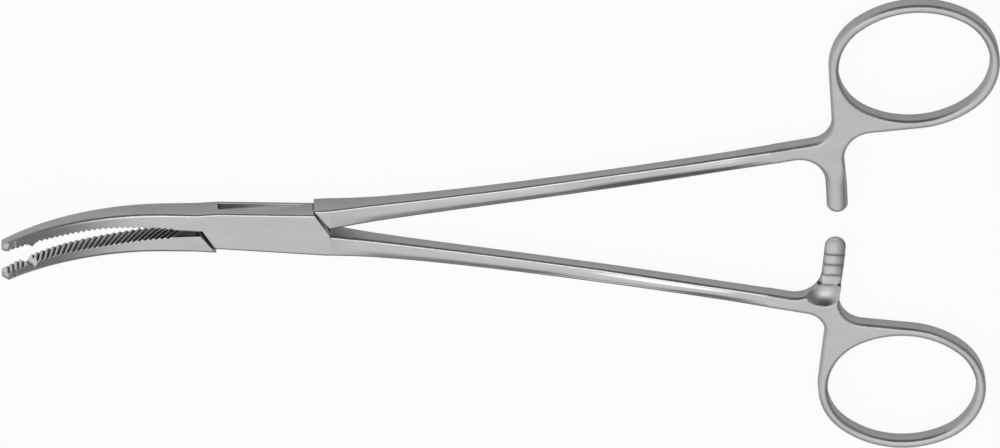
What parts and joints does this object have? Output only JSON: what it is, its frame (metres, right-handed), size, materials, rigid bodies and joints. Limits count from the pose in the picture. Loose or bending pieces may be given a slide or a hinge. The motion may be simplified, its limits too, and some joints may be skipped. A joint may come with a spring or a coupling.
{
  "type": "hysterectomy forceps",
  "caption": "Curved ring-handled clamping forceps with box lock, ratchet arms and slanted serrated jaws with a tooth near the tip.",
  "frame": {"origin": "on the axis of the lock pin, in the plane of the box's back face, on which the instrument lies", "axes": "+X along the closed instrument towards the finger rings, +Y towards the upper ring, +Z out of the front face; the jaws curve towards +Z"},
  "size_m": [0.2068, 0.108, 0.0166],
  "materials": {
    "satin_steel": "satin ground and passivated stainless steel",
    "satin_steel_tongue": "satin ground and passivated stainless steel",
    "ground_pin_steel": "stainless steel ground flush with the box"
  },
  "bodies": {
    "box": {"box_half": "satin_steel", "lock_pin": "ground_pin_steel"},
    "tongue": {"tongue_half": "satin_steel_tongue"}
  },
  "joints": [
    {"name": "box_lock_hinge", "type": "hinge", "parent": "box", "child": "tongue", "pos_m": [0, 0, 0], "axis": [0, 0, 1], "range_deg": [-5.3, 42]}
  ]
}
